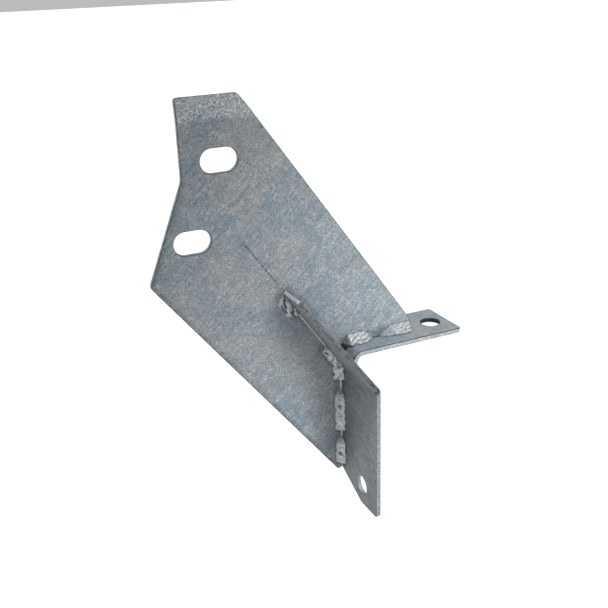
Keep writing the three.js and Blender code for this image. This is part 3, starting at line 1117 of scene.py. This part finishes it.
def make_floor():
    """A wide white floor just under the bracket."""
    floor_drop = 0.3
    half = 16.0
    mesh = bpy.data.meshes.new("floor")
    level = cad_low.z - floor_drop
    corners = [(-half, -half, level), (half, -half, level), (half, half, level), (-half, half, level)]
    mesh.from_pydata(corners, [], [(0, 1, 2, 3)])
    floor = bpy.data.objects.new("floor", mesh)
    bpy.context.scene.collection.objects.link(floor)
    material = bpy.data.materials.new("floor_white")
    material.use_nodes = True
    shader = material.node_tree.nodes["Principled BSDF"]
    shader.inputs["Base Color"].default_value = (0.93, 0.93, 0.93, 1)
    shader.inputs["Roughness"].default_value = 0.9
    shader.inputs["Specular IOR Level"].default_value = 0.0
    mesh.materials.append(material)


def make_world(strength):
    """Even light from all round, a little brighter above."""
    world = bpy.data.worlds.new("studio")
    world.use_nodes = True
    tree = world.node_tree
    tree.nodes.clear()
    coordinates = tree.nodes.new("ShaderNodeTexCoord")
    split = tree.nodes.new("ShaderNodeSeparateXYZ")
    height = tree.nodes.new("ShaderNodeMapRange")
    reach = {"From Min": -0.2, "From Max": 1.0, "To Min": 0.75 * strength, "To Max": 1.25 * strength}
    for key, value in reach.items():
        height.inputs[key].default_value = value
    background = tree.nodes.new("ShaderNodeBackground")
    background.inputs["Color"].default_value = (0.97, 0.985, 1.0, 1)
    output = tree.nodes.new("ShaderNodeOutputWorld")
    tree.links.new(coordinates.outputs["Generated"], split.inputs[0])
    tree.links.new(split.outputs[2], height.inputs["Value"])
    tree.links.new(height.outputs["Result"], background.inputs["Strength"])
    tree.links.new(background.outputs[0], output.inputs[0])
    bpy.context.scene.world = world


def add_sun(name, towards, strength, spread):
    """A broad far light. `towards` points from the bracket to the light."""
    light = bpy.data.lights.new(name, "SUN")
    light.energy = strength
    light.angle = math.radians(spread)
    lamp = bpy.data.objects.new(name, light)
    lamp.rotation_mode = "QUATERNION"
    lamp.rotation_quaternion = Vector(towards).to_track_quat("Z", "Y")
    bpy.context.scene.collection.objects.link(lamp)


def make_camera():
    """Looks down from the front left, with a slight roll."""
    azimuth = math.radians(-24.67)
    elevation = math.radians(21.845)
    roll = math.radians(-1.97)
    distance = 0.5
    aim = CORNER + Vector((-36.3, -24.8, 44.7)) * MM
    back = Vector((
        math.sin(azimuth) * math.cos(elevation),
        -math.cos(azimuth) * math.cos(elevation),
        math.sin(elevation),
    ))
    data = bpy.data.cameras.new("camera")
    data.sensor_width = 36.0
    data.lens = 50.37
    data.clip_start = 0.01
    data.clip_end = 100.0
    camera = bpy.data.objects.new("camera", data)
    camera.location = aim + back * distance
    camera.rotation_mode = "QUATERNION"
    level = (-back).to_track_quat("-Z", "Y")
    camera.rotation_quaternion = level @ Matrix.Rotation(roll, 4, "Z").to_quaternion()
    bpy.context.scene.collection.objects.link(camera)
    bpy.context.scene.camera = camera


# One zinc on all three sheets: their tones are partly painted light and shade, darker on the leg's side face
# and lighter on the foot's top.
web_face = galvanised(
    "galvanised_web", tone=0.85, slope=(0.33, -0.2), centre=(-40, 60), crystals=0.6,
    scratch_along=(0.7, 0.0, 0.65), scored=0.12, width=1.3, grainy_above=CREASE[1] - 2, crease=FACE_LINE)
leg_face = galvanised(
    "galvanised_leg", tone=0.66, slope=(0.0, 0.26), centre=(0, -35), crystals=0.3,
    scratch_along=(0.0, -0.86, -0.5), scored=0.2, width=2.4, warm=0.25)
foot_face = galvanised(
    "galvanised_foot", tone=1.06, slope=(0.0, 0.0), centre=(0, 0), crystals=0.3,
    scratch_along=(1.0, 0.2, 0.1), scored=0.06, width=1.0, grime_and_shade=0.15)
# The cut edges' tones are partly painted light and shade as well.
web_edge = cut_edge("web_cut_edge", tone=0.95, drawn=(0.0, 0.0, 1.0), torn_share=0.2)
leg_edge = cut_edge("leg_cut_edge", tone=0.82, drawn=(-0.45, 0.35, 0.7), torn_share=None)
foot_edge = cut_edge("foot_cut_edge", tone=1.65, drawn=(1.0, 0.0, 0.0), torn_share=0.45)
bead_looks = {
    "bright": bead_zinc("bright_weld_zinc", tone=0.86, shade_and_dirt=0.85),
    "grey": bead_zinc("grey_weld_zinc", tone=0.9, shade_and_dirt=0.8),
    "dull": bead_zinc("dull_weld_zinc", tone=0.6, shade_and_dirt=0.9),
}
rim = dark_rim("sheet_rim", tone=0.8, dark=0.9)
leg_rim = dark_rim("leg_rim", tone=0.9, dark=0.5)
foot_hole_wall = hole_wall("foot_hole_wall")

make_web((web_face, web_edge, rim))
make_leg((leg_face, leg_edge, leg_rim))
make_foot((foot_face, foot_edge, rim, foot_hole_wall))
for bead_name, bead in BEADS.items():
    make_bead(bead_name, bead, (bead_looks[bead["look"]],))
for zinc_name, (seam, start, end, reach) in SEAM_ZINC.items():
    make_seam_zinc(zinc_name, seam, start, end, reach, (bead_looks["grey"],))

make_floor()
make_world(strength=0.62)
add_sun("key", towards=(0.25, -0.5, 0.84), strength=2.2, spread=50)
make_camera()
bpy.context.scene.view_settings.view_transform = "Standard"
